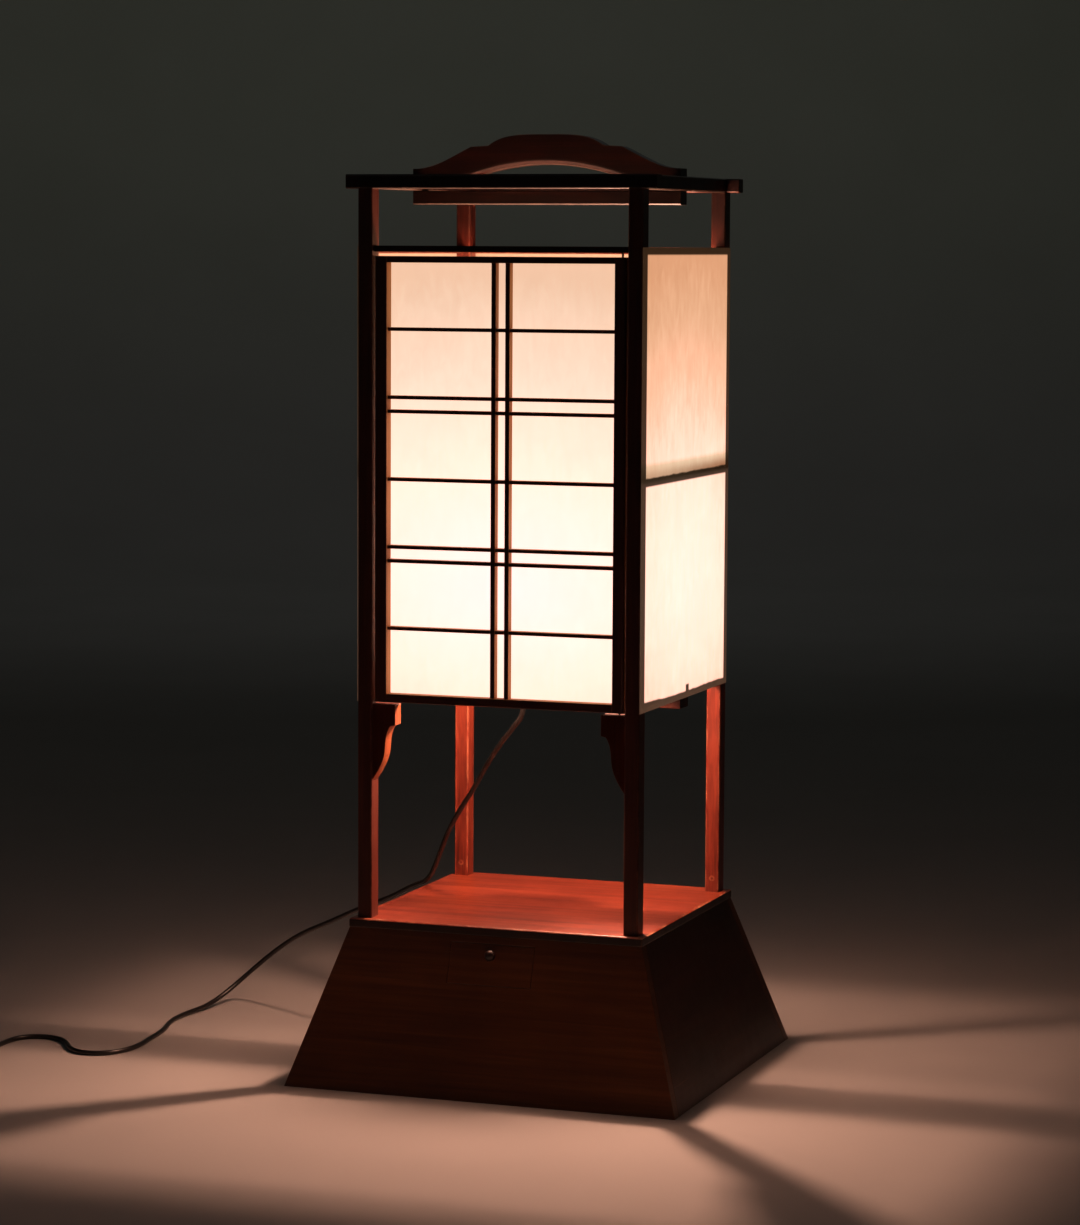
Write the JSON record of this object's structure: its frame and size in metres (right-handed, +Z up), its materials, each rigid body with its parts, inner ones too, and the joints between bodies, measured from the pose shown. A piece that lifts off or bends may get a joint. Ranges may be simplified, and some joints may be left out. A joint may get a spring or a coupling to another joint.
{
  "type": "andon floor lamp",
  "caption": "Tall square paper-shaded floor lamp on a splayed base with a small drawer, an opening lattice door, a carrying handle and an electric bulb.",
  "frame": {"origin": "centre of the base's footprint, on the floor", "axes": "+Z up, -Y the side with the lattice door and the drawer, +X to the right seen from that side"},
  "size_m": [0.752, 0.3915, 0.847],
  "materials": {
    "frame_wood": "dark lacquered",
    "base_wood": "dark lacquered, worn",
    "inner_wood": "bare softwood",
    "paper": "translucent handmade paper",
    "bakelite": "dark brown phenolic",
    "brass": "dull brass",
    "steel": "plain steel",
    "glass": "frosted glass",
    "cord": "dark brown rubber sheath"
  },
  "bodies": {
    "frame": {"back_bottom_rail": "frame_wood", "back_middle_rail": "frame_wood", "back_paper": "paper", "back_top_rail": "frame_wood", "base_back": "base_wood", "base_corner_blocks": "inner_wood", "base_front": "base_wood", "base_left": "base_wood", "base_right": "base_wood", "base_top_board": "base_wood", "bulb_cap": "brass", "bulb_glass": "glass", "bulb_stem": "glass", "cord_bush": "cord", "cord_coil": "cord", "cord_lead": "cord", "door_pins": "steel", "drawer_runners": "inner_wood", "frame_pegs": "frame_wood", "front_rail": "frame_wood", "handle": "frame_wood", "handle_batten": "frame_wood", "lamp_base": "bakelite", "lamp_crossbar": "frame_wood", "lamp_nipple": "brass", "lampholder_body": "bakelite", "left_back_post": "frame_wood", "left_bottom_rail": "frame_wood", "left_bracket": "frame_wood", "left_front_post": "frame_wood", "left_middle_rail": "frame_wood", "left_paper": "paper", "left_top_rail": "frame_wood", "plug_body": "bakelite", "plug_pins": "brass", "right_back_post": "frame_wood", "right_bottom_rail": "frame_wood", "right_bracket": "frame_wood", "right_front_post": "frame_wood", "right_middle_rail": "frame_wood", "right_paper": "paper", "right_top_rail": "frame_wood", "screw_shell": "brass", "top_bar_back": "frame_wood", "top_bar_front": "frame_wood", "top_bar_left": "frame_wood", "top_bar_right": "frame_wood"},
    "door": {"door_left_stile": "frame_wood", "door_right_stile": "frame_wood", "door_bottom_rail": "frame_wood", "door_top_rail": "frame_wood", "door_lattice_bars": "frame_wood", "door_lattice_uprights": "frame_wood", "door_paper": "paper"},
    "drawer": {"drawer_front": "base_wood", "drawer_sides": "inner_wood", "drawer_bottom": "inner_wood", "drawer_back": "inner_wood", "drawer_knob": "frame_wood"},
    "switch": {"switch_key": "bakelite"}
  },
  "joints": [
    {"name": "door_swing", "type": "hinge", "parent": "frame", "child": "door", "pos_m": [0.1113, -0.121, 0.35], "axis": [0, 0, 1], "range_deg": [0, 97]},
    {"name": "drawer_slide", "type": "slide", "parent": "frame", "child": "drawer", "axis": [0, -1, 0], "range_m": [0, 0.11]},
    {"name": "switch_key_turn", "type": "hinge", "parent": "frame", "child": "switch", "pos_m": [0, -0.018, 0.3613], "axis": [0, 1, 0], "continuous": true}
  ]
}
